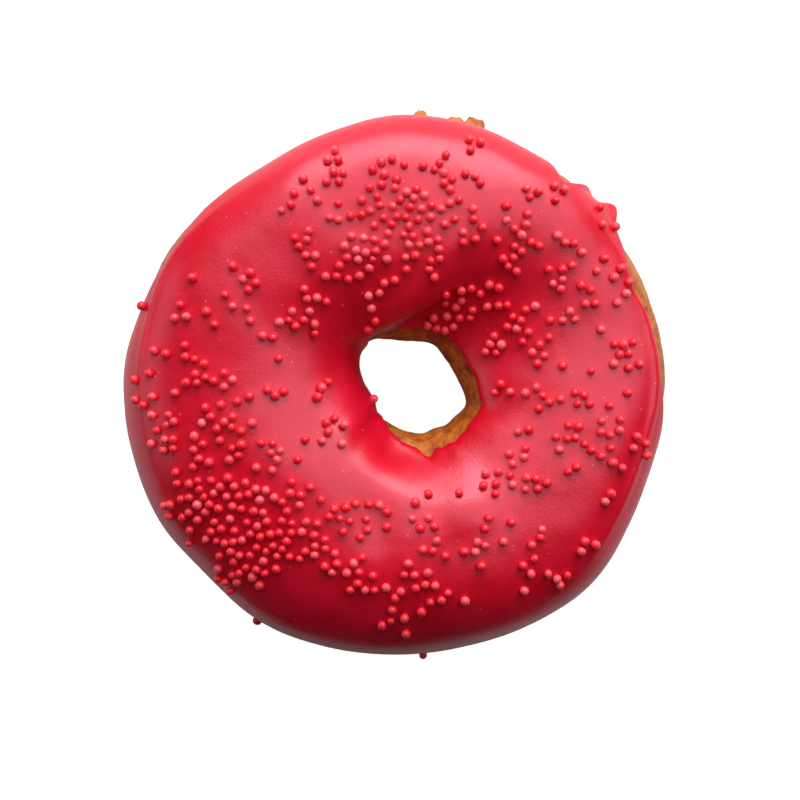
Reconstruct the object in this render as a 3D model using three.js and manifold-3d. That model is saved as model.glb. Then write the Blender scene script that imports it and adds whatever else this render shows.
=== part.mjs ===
// An iced ring doughnut: a fried dough ring, a coat of icing over its upper half, and nonpareils set in it.
// Millimetres, +Z up. The origin is the middle of the footprint, on the surface that the doughnut lies on.
import * as THREE from "three";
import { mergeVertices } from "three/addons/utils/BufferGeometryUtils.js";
import Module from "manifold-3d";

const wasm = await Module();
wasm.setup();

// ---------------------------------------------------------------- driving dimensions

const DOUGH_HEIGHT = 28.5; // from the table to the top of the bare dough
const EQUATOR_HEIGHT = 14.5; // where the ring is widest
const UNDERSIDE_DEPTH = 15.3; // of the round underside below the equator, before the table flattens it
const FULLNESS = 2.6; // exponent of the section's superellipse: 2 is an ellipse, more is squarer

const ICING_THICKNESS = 1.2;
const RIM_SHARE = 0.45; // of the icing's thickness that is left at its two edges
const RIM_BLUNTNESS = 6; // exponent: more keeps the full thickness nearer to the edges
const GAP = 0.35; // between the dough and the icing

const NONPAREIL_DIAMETER = 1.5;
const SUNK_SHARE = 0.2; // of a nonpareil's diameter that the icing swallows
const NONPAREIL_GAP = 0.1; // between a nonpareil's trimmed foot and the icing
const MOULD_DEPTH = 2; // how far below the dough's surface the solid that trims the nonpareils reaches

// Each list has one value every 15 degrees, counter-clockwise from +X. A hand-shaped ring is never round.
const OUTER_RADIUS = [
  45.0, 44.6, 44.2, 43.6, 43.3, 43.5, 43.1, 41.7, 40.9, 41.6, 43.3, 43.3,
  43.8, 43.8, 44.0, 43.5, 44.3, 44.1, 43.7, 43.6, 44.8, 45.4, 44.2, 43.8,
];
const HOLE_RADIUS = [
  10.7, 9.8, 9.3, 9.2, 8.1, 7.3, 7.3, 7.7, 8.9, 8.8, 8.0, 7.0,
  6.2, 5.6, 5.4, 5.5, 6.4, 6.1, 6.9, 8.0, 9.3, 9.7, 11.1, 12.2,
];
// How much lower the ring's crest is than at its highest place.
const CREST_DROP = [
  5.0, 5.6, 4.8, 2.4, 0.4, 0, 0, 0.2, 0.4, 0.6, 0.8, 0.8,
  0.7, 0.5, 0.3, 0.3, 0.5, 0.9, 1.4, 1.8, 2.2, 2.8, 3.4, 4.2,
];
// Where the icing ends, in degrees above the ring's equator: on the outside, and in the hole.
const OUTER_EDGE = [
  16, 22, 18, -2, -4, -5, -6, -6, -4, 4, 14, 4,
  -6, -10, -8, -2, -2, -8, -10, -4, -3, -5, -6, 0,
];
const HOLE_EDGE = [
  37, 36, 35, 31, 24, 20, 18, 18, 8, -6, -14, -18,
  -18, -16, -14, -8, -2, 18, 29, 33, 37, 41, 36, 34,
];

// Folds that the dough kept from being shaped by hand: valleys from the hole outwards. The bank on the left
// of the line, seen from its start, falls steeply and the other one gently; these are the banks' widths.
const FOLD_RUN_IN = 0.5; // share of its length, ahead of its start, over which a fold grows deep
const FOLD_FADE_FROM = 0.35; // share of its length after which it fades
const FOLDS = [
  { from: [-2.5, 8.5], to: [25, 21.5], depth: 4, steep: 3.2, gentle: 8 },
  { from: [0.5, -8], to: [8, -21], depth: 1.2, steep: 4, gentle: 4 },
];

// Handfuls of nonpareils as they fell: the middle of each, how far it spread, and how many of them stuck.
const HANDFULS = [
  { at: [2, 26], reach: 8.6, count: 12 },
  { at: [15, 21], reach: 4.6, count: 3 },
  { at: [31, 20], reach: 7.6, count: 6 },
  { at: [34, -6], reach: 7, count: 6 },
  { at: [20, -28], reach: 7.4, count: 6 },
  { at: [-1, -33], reach: 5.6, count: 4 },
  { at: [-22, -22], reach: 8.6, count: 12 },
  { at: [-32, -4], reach: 6.4, count: 5 },
  { at: [-29, 14], reach: 6, count: 4 },
];

// Mesh steps: round the ring, round the dough's section, and across the icing's skins.
const RING_STEPS = 72;
const DOUGH_STEPS = 22;
const OUTER_SKIN_STEPS = 13;
const INNER_SKIN_STEPS = 11;
const NONPAREIL_DETAIL = 1;

const GOLDEN_ANGLE = Math.PI * (3 - Math.sqrt(5));
const STATIONS = OUTER_RADIUS.length;

// ---------------------------------------------------------------- the ring's shape

// The smooth closed curve (Catmull-Rom) through values that are evenly spaced round a full turn.
function roundTurn(values, angle) {
  const place = ((angle / (2 * Math.PI)) * STATIONS + STATIONS * 4) % STATIONS;
  const first = Math.floor(place);
  const share = place - first;
  const [a, b, c, d] = [-1, 0, 1, 2].map((k) => values[(first + k + STATIONS) % STATIONS]);
  const slope = (c - a) / 2;
  const nextSlope = (d - b) / 2;
  const square = share * share;
  const cube = square * share;
  return (
    b * (2 * cube - 3 * square + 1) +
    slope * (cube - 2 * square + share) +
    c * (3 * square - 2 * cube) +
    nextSlope * (cube - square)
  );
}

// How deep the folds press the dough at a point of the plan.
function foldDepth(x, y) {
  return FOLDS.reduce((sum, fold) => {
    const along = new THREE.Vector2(...fold.to).sub(new THREE.Vector2(...fold.from));
    const offset = new THREE.Vector2(x, y).sub(new THREE.Vector2(...fold.from));
    const share = offset.dot(along) / along.lengthSq();
    const aside = along.cross(offset) / along.length();
    const width = aside > 0 ? fold.steep : fold.gentle;
    const beforeStart = THREE.MathUtils.smoothstep(share, -FOLD_RUN_IN, 0);
    const beforeEnd = 1 - THREE.MathUtils.smoothstep(share, FOLD_FADE_FROM, 1);
    return sum + fold.depth * Math.exp(-((aside / width) ** 2)) * beforeStart * beforeEnd;
  }, 0);
}

// A point of the bare dough. turn is the angle round the ring; lift goes round the section, from the outer
// equator at 0, over the top at 90 degrees, to the hole's equator at 180 degrees.
function doughPoint(turn, lift) {
  const outer = roundTurn(OUTER_RADIUS, turn);
  const hole = roundTurn(HOLE_RADIUS, turn);
  const across = Math.sign(Math.cos(lift)) * Math.abs(Math.cos(lift)) ** (2 / FULLNESS);
  const up = Math.sign(Math.sin(lift)) * Math.abs(Math.sin(lift)) ** (2 / FULLNESS);
  const radius = (outer + hole) / 2 + ((outer - hole) / 2) * across;
  const x = radius * Math.cos(turn);
  const y = radius * Math.sin(turn);
  if (up < 0) return new THREE.Vector3(x, y, Math.max(0, EQUATOR_HEIGHT + UNDERSIDE_DEPTH * up));
  const crest = DOUGH_HEIGHT - roundTurn(CREST_DROP, turn);
  const z = EQUATOR_HEIGHT + (crest - EQUATOR_HEIGHT - foldDepth(x, y)) * up;
  return new THREE.Vector3(x, y, z);
}

// The outward direction of the dough's surface, from two short steps along it.
function doughNormal(turn, lift) {
  const step = 0.02;
  const alongRing = doughPoint(turn + step, lift).sub(doughPoint(turn - step, lift));
  const alongSection = doughPoint(turn, lift + step).sub(doughPoint(turn, lift - step));
  return alongRing.cross(alongSection).normalize();
}

// A point at some height above the dough's surface.
function coatPoint(turn, lift, height) {
  return doughPoint(turn, lift).addScaledVector(doughNormal(turn, lift), height);
}

// The section angle of a point on the ring's upper half, from its place in the plan.
function liftAt(x, y) {
  const turn = Math.atan2(y, x);
  const outer = roundTurn(OUTER_RADIUS, turn);
  const hole = roundTurn(HOLE_RADIUS, turn);
  const across = (Math.hypot(x, y) - (outer + hole) / 2) / ((outer - hole) / 2);
  return Math.acos(Math.sign(across) * Math.abs(across) ** (FULLNESS / 2));
}

// A torus with every vertex moved to place(turn, share), where share goes once round the section from 0 to 1.
function bentTorus(sectionSteps, place) {
  const geometry = new THREE.TorusGeometry(2, 1, sectionSteps, RING_STEPS);
  const position = geometry.getAttribute("position");
  for (let section = 0; section <= sectionSteps; section++) {
    for (let ring = 0; ring <= RING_STEPS; ring++) {
      const turn = ((ring % RING_STEPS) / RING_STEPS) * 2 * Math.PI;
      const point = place(turn, (section % sectionSteps) / sectionSteps);
      position.setXYZ(section * (RING_STEPS + 1) + ring, ...point);
    }
  }
  geometry.deleteAttribute("normal");
  geometry.deleteAttribute("uv");
  return mergeVertices(geometry);
}

// ---------------------------------------------------------------- dough and icing

const doughGeometry = () => bentTorus(DOUGH_STEPS, (turn, share) => doughPoint(turn, share * 2 * Math.PI));

// The icing's height above the gap at a share of the way across it: even, then thinner at both edges.
const icingHeight = (share) =>
  ICING_THICKNESS * (RIM_SHARE + (1 - RIM_SHARE) * (1 - Math.abs(2 * share - 1) ** RIM_BLUNTNESS));

// A band over the upper half of the ring. Its upper skin runs from the outer edge to the hole's edge, raised
// above the icing by extra; its lower skin runs back at the height floor above the dough.
function band(extra, floor) {
  const steps = OUTER_SKIN_STEPS + INNER_SKIN_STEPS + 2;
  return bentTorus(steps, (turn, loop) => {
    const outerEdge = THREE.MathUtils.degToRad(roundTurn(OUTER_EDGE, turn));
    const holeEdge = Math.PI - THREE.MathUtils.degToRad(roundTurn(HOLE_EDGE, turn));
    const step = Math.round(loop * steps);
    const onUpperSkin = step <= OUTER_SKIN_STEPS;
    const share = onUpperSkin
      ? step / OUTER_SKIN_STEPS
      : 1 - (step - OUTER_SKIN_STEPS - 1) / INNER_SKIN_STEPS;
    const lift = THREE.MathUtils.lerp(outerEdge, holeEdge, share);
    return coatPoint(turn, lift, onUpperSkin ? GAP + icingHeight(share) + extra : floor);
  });
}

// ---------------------------------------------------------------- nonpareils

function solidFrom(geometry) {
  return new wasm.Manifold(
    new wasm.Mesh({
      numProp: 3,
      vertProperties: geometry.getAttribute("position").array,
      triVerts: new Uint32Array(geometry.index.array),
    }),
  );
}

function geometryFrom(solid) {
  const mesh = solid.getMesh();
  const geometry = new THREE.BufferGeometry();
  geometry.setAttribute("position", new THREE.BufferAttribute(mesh.vertProperties, 3));
  geometry.setIndex(new THREE.BufferAttribute(mesh.triVerts, 1));
  return geometry;
}

// A small sphere set in the icing at a place of the plan, cut off just above the icing.
function nonpareilGeometry(x, y, icingMould) {
  const radius = NONPAREIL_DIAMETER / 2;
  const turn = Math.atan2(y, x);
  const heightOfMiddle = GAP + ICING_THICKNESS + radius * (1 - 2 * SUNK_SHARE);
  const sphere = new THREE.IcosahedronGeometry(radius, NONPAREIL_DETAIL);
  sphere.deleteAttribute("normal");
  sphere.deleteAttribute("uv");
  sphere.translate(...coatPoint(turn, liftAt(x, y), heightOfMiddle));
  return geometryFrom(solidFrom(mergeVertices(sphere)).subtract(icingMould));
}

// The places of one handful's nonpareils, from its middle outwards in a sunflower's spiral.
function* placesOf({ at, reach, count }) {
  for (let k = 0; k < count; k++) {
    const distance = reach * Math.sqrt((k + 0.5) / count);
    const angle = k * GOLDEN_ANGLE;
    yield [at[0] + distance * Math.cos(angle), at[1] + distance * Math.sin(angle)];
  }
}

// ---------------------------------------------------------------- the doughnut

const crust = new THREE.MeshStandardMaterial({ color: 0xb9702c, roughness: 0.8, metalness: 0 });
const redIcing = new THREE.MeshStandardMaterial({ color: 0xd22743, roughness: 0.35, metalness: 0 });
const redSugar = new THREE.MeshStandardMaterial({ color: 0xf2413f, roughness: 0.45, metalness: 0 });

function named(name, geometry, material) {
  const mesh = new THREE.Mesh(geometry, material);
  mesh.name = name;
  return mesh;
}

const doughnut = new THREE.Group();
doughnut.add(named("dough_ring", doughGeometry(), crust));
doughnut.add(named("icing", band(0, GAP), redIcing));

const icingMould = solidFrom(band(NONPAREIL_GAP, -MOULD_DEPTH));
let made = 0;
for (const handful of HANDFULS) {
  for (const [x, y] of placesOf(handful)) {
    made += 1;
    const name = `nonpareil_${String(made).padStart(2, "0")}`;
    doughnut.add(named(name, nonpareilGeometry(x, y, icingMould), redSugar));
  }
}

export default doughnut;
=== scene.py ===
# %% [markdown]
# # An iced ring doughnut
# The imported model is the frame: it says where everything is, in metres, with the doughnut lying on z = 0.
# It is loaded first, and nothing in it is moved. Its faceted dough, icing and 58 beads only hold the places;
# this file makes the surfaces that are seen.

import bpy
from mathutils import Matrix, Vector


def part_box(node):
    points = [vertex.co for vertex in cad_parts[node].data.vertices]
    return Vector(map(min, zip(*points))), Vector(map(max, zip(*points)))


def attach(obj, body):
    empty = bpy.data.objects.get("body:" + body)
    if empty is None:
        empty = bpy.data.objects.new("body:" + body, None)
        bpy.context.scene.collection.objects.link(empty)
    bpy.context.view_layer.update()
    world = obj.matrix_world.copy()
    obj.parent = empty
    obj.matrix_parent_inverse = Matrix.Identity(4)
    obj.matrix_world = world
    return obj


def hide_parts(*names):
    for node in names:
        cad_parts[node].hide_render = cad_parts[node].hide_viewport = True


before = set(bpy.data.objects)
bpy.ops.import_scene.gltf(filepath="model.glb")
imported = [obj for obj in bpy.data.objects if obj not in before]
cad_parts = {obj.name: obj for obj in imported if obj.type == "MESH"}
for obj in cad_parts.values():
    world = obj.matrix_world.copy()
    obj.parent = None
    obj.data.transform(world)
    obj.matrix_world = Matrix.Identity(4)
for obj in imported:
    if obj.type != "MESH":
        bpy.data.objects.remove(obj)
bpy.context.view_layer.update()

# %% Tools and units
import math
import random

import bmesh
import bpy
import numpy as np
from mathutils import Matrix, Vector, noise
from mathutils.bvhtree import BVHTree

MM = 0.001
TURN = 2 * math.pi
print("1 mm is", MM, "of Blender's units")

# %% [markdown]
# ## The ring's outline
# A ring doughnut is cut or shaped by hand, so its outline and its hole are uneven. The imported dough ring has
# one row of points on its outer waist and one on its waist in the hole. Reading both rows gives the two
# outlines, and a smooth closed curve (Catmull-Rom) through them gives a radius at any angle.

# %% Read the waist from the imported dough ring
STATIONS = 72
SAME_HEIGHT = 0.01 * MM
BETWEEN_WAISTS = 25 * MM

dough_points = np.array([v.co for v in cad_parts["dough_ring"].data.vertices])
dough_reach = np.hypot(dough_points[:, 0], dough_points[:, 1])
dough_turn = np.arctan2(dough_points[:, 1], dough_points[:, 0])
WAIST_HEIGHT = dough_points[dough_reach.argmax(), 2]
DOUGH_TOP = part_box("dough_ring")[1].z

on_waist = np.abs(dough_points[:, 2] - WAIST_HEIGHT) < SAME_HEIGHT
station = np.round(dough_turn / TURN * STATIONS).astype(int) % STATIONS
outside = dough_reach > BETWEEN_WAISTS


def waist_radii(side):
    """One radius for each station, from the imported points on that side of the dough."""
    return np.array([dough_reach[on_waist & side & (station == k)].mean() for k in range(STATIONS)])


OUTER_RADII = waist_radii(outside)
HOLE_RADII = waist_radii(~outside)
print("waist at", round(WAIST_HEIGHT / MM, 1), "mm, top at", round(DOUGH_TOP / MM, 1), "mm")
print("outer radius", OUTER_RADII.min().round(4), "to", OUTER_RADII.max().round(4))


# %% A smooth curve through evenly spaced values
def catmull_rom(a, b, c, d, share):
    """The value a share of the way from b to c, on a curve that also heads for a and d."""
    return b + 0.5 * share * (c - a + share * (2 * a - 5 * b + 4 * c - d + share * (3 * (b - c) + d - a)))


def round_turn(values, turn):
    """The value at an angle, from values evenly spaced round a full turn."""
    values = np.asarray(values, float)
    place = np.asarray(turn) / TURN * len(values)
    first = np.floor(place).astype(int)
    return catmull_rom(*(values[(first + k) % len(values)] for k in (-1, 0, 1, 2)), place - first)


print("hole", (round_turn(HOLE_RADII, 0) / MM).round(1), "mm from the middle on the +X side")

# %% [markdown]
# ## The dough's section
# Dough swells in the fryer until its section is a squarish oval. A superellipse draws one, and its exponent
# says how square it is. The exponent changes round the ring, and the side towards the hole has its own,
# because it is more pointed there. The upper half is lower on the right, where the ring sank. The point's
# outward direction comes from the same formula, so a coat of any thickness can follow it.

# %% The section as a formula
# The exponent on the outer side and on the hole's side, one value every 30 degrees from +X: 2 is an ellipse,
# more is squarer and less is more pointed.
FULLNESS_OUT = [2.7, 2.8, 3.0, 3.0, 2.9, 2.7, 2.5, 2.3, 2.2, 2.2, 2.3, 2.5]
FULLNESS_IN = [1.95, 2.3, 2.4, 2.4, 2.3, 2.1, 2.0, 2.05, 2.1, 1.8, 1.65, 1.85]
UNDERSIDE_DEPTH = 15.3 * MM
# How much lower than its highest place the ring's crest is, in mm, one value every 15 degrees from +X.
CREST_DROP = [
    5.0, 5.6, 4.8, 2.4, 0.4, 0.0, 0.0, 0.2, 0.4, 0.6, 0.8, 0.8,
    0.7, 0.5, 0.3, 0.3, 0.5, 0.9, 1.4, 1.8, 2.2, 2.8, 3.4, 4.2,
]


def power(value, exponent):
    """A power that keeps the sign."""
    return np.sign(value) * np.abs(value) ** exponent


def plain_ring(turn, lift, proud=0.0):
    """Points on a ring with no folds, or that far proud of it. lift runs round the section: 0 at the outer
    waist, a quarter turn at the top, half a turn at the waist in the hole."""
    outer, hole = round_turn(OUTER_RADII, turn), round_turn(HOLE_RADII, turn)
    half_width = (outer - hole) / 2
    fullness = np.where(np.cos(lift) > 0, round_turn(FULLNESS_OUT, turn), round_turn(FULLNESS_IN, turn))
    across, up = power(np.cos(lift), 2 / fullness), power(np.sin(lift), 2 / fullness)
    crest = DOUGH_TOP - WAIST_HEIGHT - round_turn(CREST_DROP, turn) * MM
    rise = np.where(up > 0, crest, UNDERSIDE_DEPTH)
    lean_out = power(across, fullness - 1) / half_width
    lean_up = power(up, fullness - 1) / rise
    steepness = np.hypot(lean_out, lean_up)
    radius = (outer + hole) / 2 + half_width * across + proud * lean_out / steepness
    height = WAIST_HEIGHT + rise * up + proud * lean_up / steepness
    return radius * np.cos(turn), radius * np.sin(turn), height


print("the crest sinks by up to", max(CREST_DROP), "mm")

# %% [markdown]
# ## Folds
# The rope of dough was joined into a ring by hand, and one end laps over the other. That left a deep crease
# from the hole outwards, with a rounded lip hanging over it on one side and a long slope on the other, and a
# softer crease opposite. Sculpting could press them in, but numbers can be changed again: each crease runs
# along a heading, and every 4 mm it has its own offset from that heading, its depth and the width of its two
# banks. The surface sinks near the line, steeply on the left bank, which also leans over, and gently on the
# right one.

# %% The creases, in mm, one value every 4 mm along the heading
CREASE_PACE = 4 * MM
CREASES = {
    "lap": {
        "heading": 26.3, "start": -8,
        "aside": [4.6, 6.6, 8.2, 9.0, 9.7, 9.75, 9.6, 9.1, 8.2, 7.5, 7.0, 6.8],
        "depth": [0.0, 0.2, 2.5, 6.0, 7.4, 6.4, 4.4, 2.4, 0.9, 0.2, 0.0, 0.0],
        "steep": [2.0, 2.0, 1.7, 1.5, 1.6, 2.0, 2.8, 4.0, 5.0, 5.0, 5.0, 5.0],
        "gentle": [4.0, 5.0, 6.0, 8.0, 9.5, 9.5, 9.0, 8.0, 7.0, 6.0, 5.0, 5.0],
        "overhang": 2.8,
    },
    "dimple": {
        "heading": -48, "start": -4,
        "aside": [-3.5, -5.0, -6.2, -7.0, -5.9, -5.2, -5.0, -5.0],
        "depth": [0.0, 1.4, 3.2, 3.2, 1.9, 0.5, 0.0, 0.0],
        "steep": [2.6, 2.6, 2.6, 2.8, 3.2, 3.6, 4.0, 4.0],
        "gentle": [3.4, 3.4, 3.4, 3.6, 4.0, 4.0, 4.0, 4.0],
        "overhang": 0.0,
    },
}
print("deepest fold", max(max(crease["depth"]) for crease in CREASES.values()), "mm")

# %% How the creases press the surface
# Half the width over which one bank turns into the other, and the lip's distance from the line and width.
BANK_BLEND = 0.4 * MM
LIP_ASIDE, LIP_WIDTH = 1.6 * MM, 2.0 * MM


def along_crease(values, along):
    """The smooth open curve through values that are a pace apart, level beyond its two ends."""
    padded = np.array([values[0]] * 2 + values + [values[-1]] * 2, float)
    place = np.clip(along / CREASE_PACE + 1, 0, len(padded) - 3.001)
    first = np.floor(place).astype(int)
    return catmull_rom(*(padded[np.clip(first + k, 0, len(padded) - 1)] for k in (0, 1, 2, 3)), place - first)


def sink(x, y):
    """How far the creases lower the surface at each point of the plan, and how far they lean it over."""
    lowered, lean_x, lean_y = np.zeros_like(x), np.zeros_like(x), np.zeros_like(x)
    for crease in CREASES.values():
        heading = math.radians(crease["heading"])
        ahead_x, ahead_y = math.cos(heading), math.sin(heading)
        along = x * ahead_x + y * ahead_y - crease["start"] * MM
        line, depth, steep, gentle = (
            along_crease(crease[name], along) * MM for name in ("aside", "depth", "steep", "gentle")
        )
        aside = y * ahead_x - x * ahead_y - line
        left = np.clip(aside / BANK_BLEND, -1, 1) * 0.5 + 0.5
        width = gentle + (steep - gentle) * left
        lowered += depth * np.exp(-((aside / width) ** 2))
        lip = crease["overhang"] * depth / max(crease["depth"])
        lip = lip * np.exp(-(((aside - LIP_ASIDE) / LIP_WIDTH) ** 2))
        lean_x += lip * ahead_y
        lean_y -= lip * ahead_x
    return lowered, lean_x, lean_y


# %% [markdown]
# ## Lumps
# Between the folds the dough isn't even: it swells more here and less there. Slow noise, a few millimetres
# from crest to crest, moves the surface by a fraction of a millimetre, and a few larger swellings are
# listed one by one. Blender's noise is the same on each run.

# %% Noise, and a bump round an angle
def lumps(x, y, z, size, seed):
    """Slow noise between about -1 and 1 at each point."""
    offset = Vector((seed, 2 * seed, 3 * seed))
    points = np.stack([x, y, z], 1) / size
    return np.array([noise.noise(Vector(p) + offset) for p in points])


def near(turn, middle, width):
    """A bump of height 1 round an angle in degrees, that wide."""
    gap = (np.degrees(turn) - middle + 180) % 360 - 180
    return np.exp(-((gap / width) ** 2))


# %% The doughnut's surface
# The noise: size from crest to crest, height and seed.
LUMPS = [(14 * MM, 0.55 * MM, 4.2), (6 * MM, 0.12 * MM, 9.4), (2.2 * MM, 0.025 * MM, 5.1)]
# Swellings and hollows of the upper side: the middle, how far each reaches and its height, in mm.
MOUNDS = [(12, -19.5, 5.2, 1.5), (-3, -22.5, 5, -0.9), (9, -30, 9, 1.1), (12, -38.5, 9, 1.3)]
# Where the dough swells out at its waist, and then into the hole: the angle and width in degrees, and how
# far in mm. A high focus keeps a swelling close to the waist.
SWELLS = [(50, 5, 0.8), (39.8, 3.0, 0.6), (136, 8, 0.9)]
HOLE_SWELLS = [(121, 9, 0.7), (320, 8, -0.5)]
SWELL_FOCUS = 6
# How much of the noise moves the sides outwards.
SIDE_SHARE = 0.6


def doughnut_surface(turn, lift, proud=0.0):
    """Points on the folded, lumpy dough, or that far proud of it."""
    x, y, z = plain_ring(turn, lift, proud)
    reach = np.hypot(x, y)
    for swells, side in ((SWELLS, 1), (HOLE_SWELLS, -1)):
        at_waist = np.clip(side * np.cos(lift), 0, 1) ** SWELL_FOCUS
        for angle, width, push in swells:
            out = side * push * MM * near(turn, angle, width) * at_waist
            x, y = x + out * x / reach, y + out * y / reach
    swell = sum(height * lumps(x, y, z, size, seed) for size, height, seed in LUMPS)
    for middle_x, middle_y, wide, height in MOUNDS:
        away = np.hypot(x - middle_x * MM, y - middle_y * MM)
        swell += height * MM * np.exp(-((away / (wide * MM)) ** 2))
    lowered, lean_x, lean_y = sink(x, y)
    above = np.clip(np.sin(lift), 0, 1) ** 0.5
    out = swell * SIDE_SHARE * np.sign(np.cos(lift)) * (1 - above)
    x = x + lean_x * above + out * np.cos(turn)
    y = y + lean_y * above + out * np.sin(turn)
    height = z + np.where(z > WAIST_HEIGHT, swell - lowered, 0) * above
    return x, y, np.maximum(height, 0)


print(len(LUMPS), "sizes of lump,", len(MOUNDS), "mounds,", len(SWELLS) + len(HOLE_SWELLS), "swellings")

# %% [markdown]
# ## A sheet bent into a ring
# Dough and icing are both rings with tens of thousands of points. Spinning a section would make one, but the
# spin slows down as the ring grows. A flat grid is quicker: one side of it runs round the ring and the other
# round the section. A shape formula bends it, and merging the doubled points closes its two seams. The two
# angles of every point stay known, which the icing's edge needs and a sculpted ring would lose.

# %% Bend a grid into a ring
DOUBLED = 1e-7


def bent_ring(name, section_steps, ring_steps, shape):
    """A closed ring with its points at shape(turn, share). share goes once round the section, 0 to 1."""
    work = bmesh.new()
    bmesh.ops.create_grid(work, x_segments=ring_steps, y_segments=section_steps, size=0.5)
    sheet = np.array([v.co for v in work.verts]) + 0.5
    bent = np.stack(shape(sheet[:, 0] * TURN, sheet[:, 1]), 1)
    for vertex, place in zip(work.verts, bent):
        vertex.co = place
    bmesh.ops.remove_doubles(work, verts=work.verts, dist=DOUBLED)
    bmesh.ops.recalc_face_normals(work, faces=work.faces)
    mesh = bpy.data.meshes.new(name)
    work.to_mesh(mesh)
    work.free()
    mesh.shade_smooth()
    piece = bpy.data.objects.new(name, mesh)
    bpy.context.scene.collection.objects.link(piece)
    print(name, len(mesh.vertices), "vertices,", 2 * len(mesh.polygons), "triangles")
    return piece


# %% [markdown]
# ## The dough ring
# Only a band of crust shows: in the hole, under the icing's edge and underneath. It is made all the way
# round, because the part is seen from every side. Fried crust is wrinkled at about a millimetre and pitted
# finer than that: the wrinkles are in the mesh, and the pits are left to the material. Three crumbs of dough
# baked onto its side. They could be pieces of their own, but they grew out of the crust, so they are bumps
# of the same surface.

# %% Make the dough
CRUST_INSET = 0.1 * MM
WRINKLE_SIZE = 1.7 * MM
WRINKLE_DEPTH = 0.12 * MM
FLAT_BASE = 0.5 * MM
# Crumbs on the side, just under the icing: the angle and half width in degrees, how far it sticks out in mm,
# and how far round the section it is, in degrees.
CRUMBS = [(84.5, 1.6, 3.3, -13), (77.2, 1.8, 2.8, -12), (72.6, 2.1, 3.5, -13)]
CRUMB_HALF_HEIGHT = 5.5
CRUMB_GRAIN = 0.9 * MM
# Above 1 a crumb is flat on top, and the second number is how much its grain wears away the flat.
CRUMB_FLAT, CRUMB_ROUGH = 1.7, 0.5


def dough_shape(turn, share):
    lift = share * TURN
    x, y, z = doughnut_surface(turn, lift, -CRUST_INSET)
    wrinkle = WRINKLE_DEPTH * lumps(x, y, z, WRINKLE_SIZE, seed=1.3)
    reach = np.hypot(x, y)
    out = wrinkle * np.cos(lift)
    grain = CRUMB_FLAT + CRUMB_ROUGH * lumps(x, y, z, CRUMB_GRAIN, seed=6.1)
    for angle, width, push, level in CRUMBS:
        crumb = near(turn, angle, width) * near(lift, level, CRUMB_HALF_HEIGHT)
        out += push * MM * np.clip(crumb * grain, 0, 1)
    up = np.where(z > FLAT_BASE, wrinkle * np.sin(lift), 0)
    return x + out * x / reach, y + out * y / reach, z + up


dough = bent_ring("crust_ring", 140, 600, dough_shape)

# %% [markdown]
# ## The icing
# The ring was dipped face down in warm icing and turned over. The coat is about a millimetre thick, ran down
# over the outside and into the hole, and set with a rounded edge that wavers, a little thicker than the rest.
# Two thick drops hang out at the upper right. The section's circle is shared out so that each rounded edge
# gets enough rows and the hidden underside few.

# %% Where the icing ends, in degrees above the waist, one value every 15 degrees from +X
OUTSIDE_EDGE = [
    29, 30, 24, -8, 2, -3, -4, -2, 4, 20, 28, 14,
    -6, -10, -8, -2, -2, -8, -10, -4, -3, -5, -6, 2,
]
HOLE_EDGE = [
    34, 34, 35, 34, 33, 32, 32, 31, 17, -6, -13, -16,
    -16, -14, -12, -7, -2, 15, 25, 29, 32, 36, 33, 32,
]
# Narrow notches that the values above are too far apart to draw.
OUTSIDE_MARKS = [
    {"turn": 22, "width": 6, "height": 8}, {"turn": 50, "width": 4.6, "height": 34},
]
HOLE_MARKS = [{"turn": -65, "width": 4.6, "height": 8}]
# The waver: how many degrees, and its size when the ring's radius is 1. Each edge reads its own level.
WAVER, WAVER_SIZE = 2.2, 0.11
OUTSIDE_LEVEL, HOLE_LEVEL = 0.5, 3.5


def edge_lift(turn, outer):
    """The section angle at which the icing ends."""
    x, y = np.cos(turn), np.sin(turn)
    level = np.full_like(x, OUTSIDE_LEVEL if outer else HOLE_LEVEL)
    degrees = round_turn(OUTSIDE_EDGE if outer else HOLE_EDGE, turn)
    degrees = degrees + WAVER * lumps(x, y, level, WAVER_SIZE, seed=7.7)
    for mark in OUTSIDE_MARKS if outer else HOLE_MARKS:
        degrees += mark["height"] * near(turn, mark["turn"], mark["width"])
    return np.radians(degrees) if outer else math.pi - np.radians(degrees)


# %% How the section's circle is shared out
# Rows first climb the outside rim, cross the top, and go down the hole's rim; the rest come back underneath.
# Below each share of the rows is how far across they are: 0 is the outside edge and 1 the hole's edge.
RIM_SHARE = 0.022
SECTION_SPLIT = [0, 0.055, 0.805, 0.86, 1]
ACROSS_SPLIT = [0, RIM_SHARE, 1 - RIM_SHARE, 1, 0]
print("share of the rows on the icing's underside", round(1 - SECTION_SPLIT[3], 2))

# %% Thickness, rims and drops
THICKNESS = 1.1 * MM
CLEARANCE = 0.05 * MM
# The rim is a little thicker: by how much, how far from the edge, and how suddenly the edge rounds off.
RIM_ROLL = 0.05 * MM
ROLL_PLACE = 0.05
RIM_SHARPNESS = 16
# The tide line: a low ridge where the icing stopped flowing for a moment, in degrees and mm.
TIDE_LIFT, TIDE_WIDTH, TIDE_HEIGHT = 38, 4, 0.35
TIDE_TURNS = [(160, 26), (-8, 30)]
# The hanging drops: angle and width in degrees, how far out in mm, and what share of the way across.
LOBES = [
    {"turn": 45.4, "width": 1.9, "push": 1.2, "reach": 0.09},
    {"turn": 38.6, "width": 3.0, "push": 2.4, "reach": 0.045},
]


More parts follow.
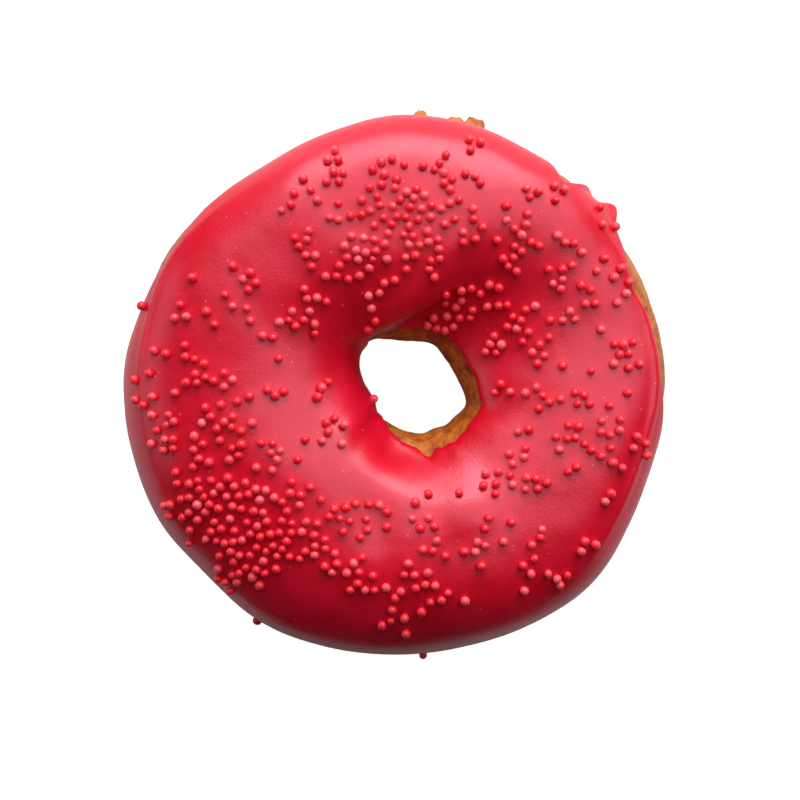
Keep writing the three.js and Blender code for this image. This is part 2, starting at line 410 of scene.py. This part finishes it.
def icing_shape(turn, share):
    across = np.interp(share, SECTION_SPLIT, ACROSS_SPLIT)
    on_top = share < SECTION_SPLIT[3]
    start, end = edge_lift(turn, outer=True), edge_lift(turn, outer=False)
    lift = start + (end - start) * across
    from_middle = np.abs(2 * across - 1)
    body = np.sqrt(np.clip(1 - from_middle**RIM_SHARPNESS, 0, 1))
    roll = RIM_ROLL * np.exp(-(((1 - from_middle) / ROLL_PLACE - 1) ** 2))
    tide = sum(near(turn, middle, width) for middle, width in TIDE_TURNS)
    tide = tide * TIDE_HEIGHT * MM * np.exp(-(((np.degrees(lift) - TIDE_LIFT) / TIDE_WIDTH) ** 2))
    proud = np.where(on_top, CLEARANCE + (THICKNESS + roll + tide) * body, CLEARANCE)
    x, y, z = doughnut_surface(turn, lift, proud)
    reach = np.hypot(x, y)
    for lobe in LOBES:
        hang = np.clip(1 - across / lobe["reach"], 0, 1) ** 1.5
        push = lobe["push"] * MM * near(turn, lobe["turn"], lobe["width"]) * hang
        x, y = x + push * x / reach, y + push * y / reach
    return x, y, z


icing = bent_ring("icing_coat", 152, 640, icing_shape)

# %% [markdown]
# ## Nonpareils
# About 550 hard sugar beads were thrown on by the pinch while the icing was wet. They fell in drifts, many of
# them against another bead, and sank a little. A particle system could scatter them, but it wouldn't keep
# them from overlapping. Instead each drift is a place, a spread and a count. A bead falls at random in its
# drift, or rolls against one that is there already, and it is thrown again if it would overlap one. The
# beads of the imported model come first, so they keep their places.

# %% The drifts: place, half length and half width in mm, the length's angle in degrees, and how many beads
DRIFTS = [
    # along the top of the ring
    (2, 34, 7, 2, 0, 8), (-10, 30, 2.5, 2.5, 0, 5), (0, 30, 6, 2.5, 0, 12), (-8, 26, 3.5, 2.5, 0, 5),
    (-16, 31.5, 3.4, 2.2, 0, 5), (-9, 34.5, 3, 1.8, 0, 4), (9, 33, 2.6, 3.4, 0, 7),
    (10.5, 38, 2, 1.6, 0, 3), (-3, 27, 3, 2.5, 0, 3), (9, 27.5, 3, 2.4, 0, 3), (3, 26, 5, 2.5, 0, 10),
    (0, 22, 6, 2.5, 0, 12), (-14, 21, 2.5, 4, 0, 7), (-7, 18, 5, 2.5, 0, 8), (9, 22, 3, 3, 0, 5),
    (12, 25, 2, 2, 0, 3), (3, 17, 4, 2, 0, 3),
    # inside the top, towards the hole
    (-13, 14, 2.5, 3, 0, 5), (-6, 14, 2, 2, 0, 3), (-18, 10, 2, 2, 0, 3), (-12, 9, 3, 2, 0, 4),
    (-4, 10, 3, 1.5, 0, 2),
    # from the top to the right
    (15.5, 21.5, 4, 2, 0, 5), (21, 27.5, 4, 2.4, 0, 5), (25, 31, 4, 2, 0, 4), (34, 26, 2, 2, 0, 1),
    (26, 21, 5, 3, 0, 8), (21, 22, 2.6, 2.4, 0, 3), (32, 18, 4, 2.4, 0, 3), (23, 17, 4, 2, 0, 3),
    (31, 13.5, 4, 2.5, 0, 4), (37, 12, 2, 3, 0, 2),
    # in the crease and on the slope under it
    (9, 11, 4, 2.4, 20, 12), (14, 14, 4, 2, 25, 8), (18.5, 12, 3, 3, 0, 6), (15, 6, 2.6, 2.6, 0, 5),
    (22, 5, 3, 3, 0, 6),
    # the right side
    (28, 8, 4, 3, 0, 4), (35, 7, 4, 3, 0, 5), (31, 3, 5, 2, 0, 3), (38, 2, 1.5, 3, 0, 2),
    (18.5, -1, 2.2, 1.5, 0, 3), (24, -3, 4, 3, 0, 6), (31, -4, 4, 3, 0, 5), (36, -6, 3, 3, 0, 3),
    (29, -9.5, 4.4, 2, 0, 9), (36, -11, 3, 3, 0, 3), (22, -9, 3, 2.6, 0, 4), (38, 3, 2, 2, 0, 1),
    # the lower right
    (21, -18, 3.4, 2, 0, 5), (34, -18, 1.5, 2, 0, 2), (17, -22, 4, 2, 0, 3), (15, -27, 2.4, 3, 0, 4),
    (22, -27, 3, 3, 0, 4), (29, -27, 3, 2, 0, 3), (25, -31, 3, 2, 0, 3), (7, -19, 5, 2, 0, 3),
    (16, -16, 3, 2, 0, 4), (21, -15, 3, 2, 0, 5), (27, -15, 2.6, 2, 0, 2), (4, -23, 4, 2.4, 0, 4),
    (8, -27, 3, 2.4, 0, 4),
    # the bottom
    (4, -31, 4, 2.4, 0, 6), (8, -34, 4, 2, 0, 5), (0, -35, 3, 3, 0, 4), (-6, -32, 3, 3, 0, 3),
    (0, -40, 4, 3, 0, 3),
    # the lower left, the thickest drift
    (-31, -18, 4, 3, 0, 9), (-25, -17, 3, 3, 0, 6), (-18, -18, 4, 2.4, 0, 7), (-31, -23, 4, 3, 0, 8),
    (-23, -22, 4, 3, 0, 7), (-15, -22, 4, 3, 0, 7), (-7, -23, 3, 3, 0, 6), (-27, -26, 3.4, 3, 0, 8),
    (-21, -28, 4, 3, 0, 8), (-27, -20.5, 4, 2.4, 0, 4), (-15, -20, 4, 2.4, 0, 3), (-8, -20, 4, 2.4, 0, 4),
    (-2, -21, 3, 2.4, 0, 4), (-13, -27, 4, 3, 0, 8), (-22, -31, 4, 2, 0, 6), (-26, -19, 5, 2.6, 0, 7),
    (-21, -24.5, 5, 2.6, 0, 5), (-8, -29, 4, 2.4, 0, 5), (-37, -20, 1.5, 3, 0, 2),
    # the left side
    (-34, -11, 4, 3, 0, 8), (-27, -11, 4, 3, 0, 9), (-21, -11, 2.5, 3, 0, 6), (-28, -6, 4, 2.5, 0, 7),
    (-37, -7, 2.5, 3, 0, 3), (-40, -1, 2.4, 3, 0, 5), (-33, 0, 3, 3, 0, 4), (-26, -1, 3, 3, 0, 5),
    (-31, 5, 3, 2.4, 0, 4), (-37, 6, 2, 2, 0, 2), (-12, -3, 4.5, 4, 0, 6), (-18, 1, 4, 3, 0, 4),
    (-12, -11, 4, 3, 0, 5),
    # the upper left
    (-25, 15, 4, 3.4, 0, 5), (-32, 11, 4, 2, 0, 4), (-24, 10, 3, 2, 0, 2), (-20, 6, 2, 2, 0, 2),
]

# %% A few beads that stuck on the steep outside, by angle and height above the table in mm
STRAYS = [
    (163, 22), (240, 15), (276, 14), (344, 22), (36.5, 17), (40.5, 21), (218, 23), (194, 25), (228, 22),
]
print(sum(drift[-1] for drift in DRIFTS), "beads in", len(DRIFTS), "drifts, and", len(STRAYS), "strays")

# %% Where a bead lands: straight down on the icing, or in from the side
NONPAREIL_RADIUS = 0.75 * MM
SIZE_SPREAD, SMALLEST, LARGEST = 0.055, 0.84, 1.15
SUNK_SHARE = 0.22
SUNK_LEAST, SUNK_MOST = 0.6, 1.3
CLOSEST_SHARE = 0.96
UNDERCUT = -0.3
ABOVE_ALL, OUTSIDE_ALL = 60 * MM, 70 * MM

icing_tree = BVHTree.FromPolygons(
    [v.co for v in icing.data.vertices],
    [p.vertices[:] for p in icing.data.polygons],
)
dice = random.Random(20)
beads = []


def drop(x, y):
    """The icing under a point of the plan, and the direction that it faces."""
    place, facing, _, _ = icing_tree.ray_cast(Vector((x, y, ABOVE_ALL)), Vector((0, 0, -1)))
    return place, facing


def press(turn, height):
    """The icing met from outside, at an angle and a height."""
    outward = Vector((math.cos(turn), math.sin(turn), 0))
    place, facing, _, _ = icing_tree.ray_cast(outward * OUTSIDE_ALL + Vector((0, 0, height)), -outward)
    return place, facing


def settle(place, facing, radius):
    """Adds a bead sunk in the icing, unless it would hang in the air or overlap another one."""
    if place is None or facing.z < UNDERCUT:
        return False
    middle = place + facing * radius * (1 - 2 * SUNK_SHARE * dice.uniform(SUNK_LEAST, SUNK_MOST))
    for other, other_radius in beads:
        if (middle - other).length < CLOSEST_SHARE * (radius + other_radius):
            return False
    beads.append((middle, radius))
    return True


def bead_size():
    """Most beads are alike, and some are small or large."""
    return NONPAREIL_RADIUS * min(max(dice.gauss(1, SIZE_SPREAD), SMALLEST), LARGEST)


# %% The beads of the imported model, then the strays
bead_nodes = sorted(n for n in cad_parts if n.startswith("nonpareil"))
for node in bead_nodes:
    low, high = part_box(node)
    settle(*drop((low.x + high.x) / 2, (low.y + high.y) / 2), bead_size())
for angle, height in STRAYS:
    settle(*press(math.radians(angle), height * MM), bead_size())
print(len(beads), "nonpareils set one by one")

# %% Throw the rest
ROLLED_SHARE = 0.4
ROLLED_LEAST, ROLLED_MOST = 1.0, 1.3
TRIES = 60

for x, y, along, across, lean, count in DRIFTS:
    first = len(beads)
    heading = Matrix.Rotation(math.radians(lean), 2)
    for _ in range(count):
        for _ in range(TRIES):
            radius = bead_size()
            if len(beads) > first and dice.random() < ROLLED_SHARE:
                against, its_radius = beads[dice.randrange(first, len(beads))]
                side = dice.uniform(0, TURN)
                apart = (radius + its_radius) * dice.uniform(ROLLED_LEAST, ROLLED_MOST)
                spot = against.xy + Vector((math.cos(side), math.sin(side))) * apart
            else:
                out, side = math.sqrt(dice.random()), dice.uniform(0, TURN)
                spread = Vector((along * out * math.cos(side), across * out * math.sin(side)))
                spot = (Vector((x, y)) + heading @ spread) * MM
            if settle(*drop(spot.x, spot.y), radius):
                break
print(len(beads), "nonpareils in all")

# %% [markdown]
# ## A bead
# A nonpareil is a ball of sugar built up in a tumbling pan, so it is round but not perfectly: some are oval,
# some have a dent. One icosphere of 80 faces is copied for every bead, and each copy is scaled, turned and
# dented by its own numbers. Each bead also keeps one number, its tone, because some took less colour. All
# of them are one mesh, because hundreds of objects would be slow to draw and to export.

# %% The shape of one bead
OVAL = 0.07
DENTED_SHARE = 0.1
DENT_DEPTH = 0.22
DENT_FOCUS = 6
DENT_LEAN = 0.5


def unit_bead():
    """An icosphere of radius 1."""
    work = bmesh.new()
    bmesh.ops.create_icosphere(work, subdivisions=2, radius=1.0)
    mesh = bpy.data.meshes.new("unit_bead")
    work.to_mesh(mesh)
    work.free()
    return mesh


def bead_points(unit, middle, radius):
    """The unit bead's points, oval, dented, turned at random and put in place."""
    angle = dice.uniform(0, TURN)
    turned = Matrix.Rotation(angle, 3, Vector((dice.gauss(0, 1), dice.gauss(0, 1), dice.gauss(0, 1))))
    scale = Matrix.Diagonal([1 + dice.uniform(-OVAL, OVAL) for _ in range(3)])
    points = unit @ np.array(turned @ scale @ turned.transposed()).T
    if dice.random() < DENTED_SHARE:
        dent = Vector((dice.gauss(0, DENT_LEAN), dice.gauss(0, DENT_LEAN), 1)).normalized()
        facing = np.clip(points @ np.array(dent), 0, 1)
        points = points * (1 - DENT_DEPTH * facing[:, None] ** DENT_FOCUS)
    return points * radius + np.array(middle)


# %% Make all the nonpareils as one mesh
TONE_MIDDLE, TONE_SPREAD = 0.24, 0.20

source = unit_bead()
unit_points = np.array([v.co for v in source.vertices])
work = bmesh.new()
for _ in beads:
    work.from_mesh(source)
nonpareil_mesh = bpy.data.meshes.new("nonpareils")
work.to_mesh(nonpareil_mesh)
work.free()
bpy.data.meshes.remove(source)
all_points = np.concatenate([bead_points(unit_points, middle, radius) for middle, radius in beads])
nonpareil_mesh.vertices.foreach_set("co", all_points.ravel())
tones = [min(max(dice.gauss(TONE_MIDDLE, TONE_SPREAD), 0), 1) for _ in beads]
tone = nonpareil_mesh.attributes.new("tone", "FLOAT", "POINT")
tone.data.foreach_set("value", np.repeat(tones, len(unit_points)))
nonpareil_mesh.shade_smooth()
nonpareil_mesh.update()
nonpareils = bpy.data.objects.new("nonpareils", nonpareil_mesh)
bpy.context.scene.collection.objects.link(nonpareils)
print("nonpareils", len(nonpareil_mesh.polygons), "triangles")

# %% [markdown]
# ## Materials
# Each finish is one Principled shader with noise in Object coordinates, so that its scale is real: the noise
# scale is one over the size in metres. What is the same all over is set on the shader's own sockets, and
# fine relief goes through a Bump node.

# %% Helpers for node trees
def new_material(name, sockets):
    """A material and its Principled shader, with these sockets set."""
    material = bpy.data.materials.new(name)
    material.use_nodes = True
    shader = material.node_tree.nodes["Principled BSDF"]
    for socket, value in sockets.items():
        shader.inputs[socket].default_value = value
    return material, shader


def add_node(material, kind, **values):
    """A node with its inputs set by name."""
    node = material.node_tree.nodes.new(kind)
    for name, value in values.items():
        node.inputs[name.replace("_", " ")].default_value = value
    return node


def object_noise(material, size, detail=2.0, roughness=0.5):
    """Noise whose lumps are that many metres across."""
    tree = material.node_tree
    place = tree.nodes.new("ShaderNodeTexCoord")
    grain = add_node(material, "ShaderNodeTexNoise", Scale=1 / size, Detail=detail, Roughness=roughness)
    tree.links.new(place.outputs["Object"], grain.inputs["Vector"])
    return grain.outputs["Fac"]


def ramp(material, value, stops):
    """Colours along a value: stops are (place, colour)."""
    tree = material.node_tree
    node = tree.nodes.new("ShaderNodeValToRGB")
    colours = node.color_ramp.elements
    while len(colours) < len(stops):
        colours.new(0.5)
    for element, (at, colour) in zip(colours, stops):
        element.position = at
        element.color = (*colour, 1)
    tree.links.new(value, node.inputs["Fac"])
    return node.outputs["Color"]


def relief(material, shader, height, depth):
    """Bump from a height, that many metres deep."""
    tree = material.node_tree
    bump = add_node(material, "ShaderNodeBump", Strength=1.0, Distance=depth)
    tree.links.new(height, bump.inputs["Height"])
    tree.links.new(bump.outputs["Normal"], shader.inputs["Normal"])


# %% [markdown]
# ## The icing's finish
# Set icing is satin: some light goes in and comes back redder, and the surface gives a broad, soft, slightly
# pink highlight. A single red would look like plastic, so two close reds drift over it in patches of 6 mm.
# Undissolved sugar shows as a few pale specks, which a Voronoi texture places, and as a fine grain.

# %% Icing: satin crimson sugar, a little translucent
ICING_RED = (0.60, 0.0008, 0.013)
ICING_LIGHT = (0.68, 0.003, 0.026)
ICING_SPECK = (0.80, 0.16, 0.17)
ICING_PATCH = 6 * MM
ICING_SOCKETS = {
    "Roughness": 0.32,
    "Specular IOR Level": 0.7,
    "Specular Tint": (1.0, 0.84, 1.0, 1.0),
    "Subsurface Weight": 0.25,
    "Subsurface Radius": (1.0, 0.15, 0.12),
    "Subsurface Scale": 1.2 * MM,
}
ICING_GRAIN, ICING_GRAIN_DEPTH = 0.45 * MM, 0.035 * MM
# The specks: how far apart, and where each begins to fade and ends, as shares of that.
SPECK_GAP = 2.4 * MM
SPECK_FADES, SPECK_ENDS = 0.035, 0.07


def specks(material):
    """1 on small round specks and 0 between them."""
    tree = material.node_tree
    place = tree.nodes.new("ShaderNodeTexCoord")
    cells = add_node(material, "ShaderNodeTexVoronoi", Scale=1 / SPECK_GAP)
    tree.links.new(place.outputs["Object"], cells.inputs["Vector"])
    return ramp(material, cells.outputs["Distance"], [(SPECK_FADES, (1, 1, 1)), (SPECK_ENDS, (0, 0, 0))])


def icing_finish():
    material, shader = new_material("set_icing", ICING_SOCKETS)
    tree = material.node_tree
    tone = ramp(material, object_noise(material, ICING_PATCH, 3), [(0.3, ICING_RED), (0.7, ICING_LIGHT)])
    blend = tree.nodes.new("ShaderNodeMix")
    blend.data_type = "RGBA"
    tree.links.new(specks(material), blend.inputs[0])
    tree.links.new(tone, blend.inputs[6])
    blend.inputs[7].default_value = (*ICING_SPECK, 1)
    tree.links.new(blend.outputs[2], shader.inputs["Base Color"])
    relief(material, shader, object_noise(material, ICING_GRAIN, 2, 0.6), ICING_GRAIN_DEPTH)
    return material


# %% [markdown]
# ## The nonpareils' finish
# Hard sugar is brighter than the icing round it, and each bead took its own share of the colour. One
# material for each shade would be clumsy: the mesh carries a tone for every bead, an Attribute node reads
# it, and a ramp turns it into a colour between red and pale pink.

# %% Nonpareils: hard bright sugar
BEAD_RED = (0.98, 0.020, 0.045)
BEAD_PALE = (1.0, 0.20, 0.24)
BEAD_SOCKETS = {
    "Roughness": 0.27,
    "Subsurface Weight": 0.35,
    "Subsurface Radius": (1.0, 0.25, 0.2),
    "Subsurface Scale": 0.7 * MM,
}
BEAD_GRAIN, BEAD_GRAIN_DEPTH = 0.4 * MM, 0.02 * MM


def sugar_finish():
    material, shader = new_material("hard_sugar", BEAD_SOCKETS)
    tree = material.node_tree
    tone = tree.nodes.new("ShaderNodeAttribute")
    tone.attribute_name = "tone"
    colour = ramp(material, tone.outputs["Fac"], [(0.2, BEAD_RED), (1.0, BEAD_PALE)])
    tree.links.new(colour, shader.inputs["Base Color"])
    relief(material, shader, object_noise(material, BEAD_GRAIN, 2, 0.5), BEAD_GRAIN_DEPTH)
    return material


# %% [markdown]
# ## The crust's finish
# Fried dough browns unevenly, dark in its wrinkles and pale where it swelled last. Noise with much fine
# detail, through a ramp of three browns, gives that mottle, and a finer noise pits the surface.

# %% Crust: fried dough
CRUST_DARK = (0.22, 0.036, 0.003)
CRUST_GOLD = (0.60, 0.170, 0.015)
CRUST_PALE = (0.74, 0.36, 0.10)
CRUST_BROWNS = [(0.3, CRUST_DARK), (0.62, CRUST_GOLD), (0.85, CRUST_PALE)]
CRUST_PATCH = 1.6 * MM
CRUST_PIT, CRUST_PIT_DEPTH = 0.45 * MM, 0.14 * MM


def crust_finish():
    material, shader = new_material("fried_crust", {"Roughness": 0.42})
    colour = ramp(material, object_noise(material, CRUST_PATCH, 6, 0.65), CRUST_BROWNS)
    material.node_tree.links.new(colour, shader.inputs["Base Color"])
    relief(material, shader, object_noise(material, CRUST_PIT, 4, 0.65), CRUST_PIT_DEPTH)
    return material


# %% Give each piece its finish
for piece, finish in ((icing, icing_finish()), (nonpareils, sugar_finish()), (dough, crust_finish())):
    piece.data.materials.append(finish)
    print(piece.name, "is", finish.name)

# %% Pieces ride on the frame's one body and stand for its nodes
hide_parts("dough_ring")
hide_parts("icing")
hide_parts(*bead_nodes)
for piece, slot in ((dough, "dough"), (icing, "icing"), (nonpareils, "nonpareils")):
    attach(piece, "root")

# %% [markdown]
# ## Floor, light and camera
# The doughnut lies on a plain pale floor under plain soft light. The floor glows evenly and lights nothing,
# which keeps it pale whatever the lamps do. What the icing mirrors near its rim is a second sheet, the
# table, which the camera doesn't see: it starts a little way in front of the doughnut and runs behind it,
# so the near side stays dark. A low window behind gives the long highlights, a wide panel overhead fills the
# upper side, and a weak lamp on the left lifts the shade. The sky is almost black.

# %% Floor and table
SHEET_SIZE = 3.0
FLOOR_PALE = 0.2
FLOOR_GLOW = 1.0
FLOOR_DROP = 0.05 * MM
TABLE_PALE = 0.7
TABLE_DROP = 0.1 * MM
TABLE_FRONT = 0.08


def sheet(name, place, paleness, glow):
    """A wide level sheet of one grey, that may glow."""
    work = bmesh.new()
    bmesh.ops.create_grid(work, x_segments=1, y_segments=1, size=SHEET_SIZE)
    bmesh.ops.translate(work, verts=work.verts, vec=place)
    mesh = bpy.data.meshes.new(name)
    work.to_mesh(mesh)
    work.free()
    piece = bpy.data.objects.new(name, mesh)
    bpy.context.scene.collection.objects.link(piece)
    material, _ = new_material(name, {
        "Roughness": 0.9,
        "Base Color": (paleness, paleness, paleness, 1),
        "Emission Color": (1, 1, 1, 1),
        "Emission Strength": glow,
    })
    mesh.materials.append(material)
    return piece


floor = sheet("floor", (0, 0, -FLOOR_DROP), FLOOR_PALE, FLOOR_GLOW)
floor.visible_diffuse = floor.visible_glossy = floor.visible_shadow = False
table = sheet("table", (0, SHEET_SIZE - TABLE_FRONT, -TABLE_DROP), TABLE_PALE, 0)
table.visible_camera = False
print("floor and table", 2 * SHEET_SIZE, "m wide")

# %% Lights: name, place, size and watts
LIGHTS = [
    ("window", (0.14, 0.68, 0.38), (1.1, 0.45), 8.0),
    ("panel", (0.16, 0.34, 0.66), (1.3, 0.7), 5.2),
    ("left", (-0.8, 0.08, 0.32), (0.6, 0.4), 0.9),
]
LIT_HEIGHT = 15 * MM
SKY = 0.03

for name, place, size, watts in LIGHTS:
    lamp = bpy.data.lights.new(name, "AREA")
    lamp.shape = "RECTANGLE"
    lamp.size, lamp.size_y = size
    lamp.energy = watts
    light = bpy.data.objects.new(name, lamp)
    light.location = place
    aim = Vector((0, 0, LIT_HEIGHT)) - light.location
    light.rotation_euler = aim.to_track_quat("-Z", "Y").to_euler()
    bpy.context.scene.collection.objects.link(light)

world = bpy.data.worlds.new("room")
bpy.context.scene.world = world
world.use_nodes = True
world.node_tree.nodes["Background"].inputs["Color"].default_value = (1, 1, 1, 1)
world.node_tree.nodes["Background"].inputs["Strength"].default_value = SKY
print(len(LIGHTS), "lights,", sum(watts for *_, watts in LIGHTS), "W")

# %% Camera: straight overhead
LENS = 100.0
SENSOR = 36.0
NEAREST = 0.01
VIEW_WIDTH = 133.1 * MM
VIEW_X, VIEW_Y = 0.9 * MM, -2.75 * MM

camera = bpy.data.objects.new("overhead", bpy.data.cameras.new("overhead"))
camera.data.lens = LENS
camera.data.sensor_width = SENSOR
camera.data.clip_start = NEAREST
camera.location = (VIEW_X, VIEW_Y, WAIST_HEIGHT + VIEW_WIDTH * LENS / SENSOR)
bpy.context.scene.collection.objects.link(camera)
bpy.context.scene.camera = camera
bpy.context.scene.view_settings.view_transform = "Standard"
print("camera", round(camera.location.z, 3), "m up")
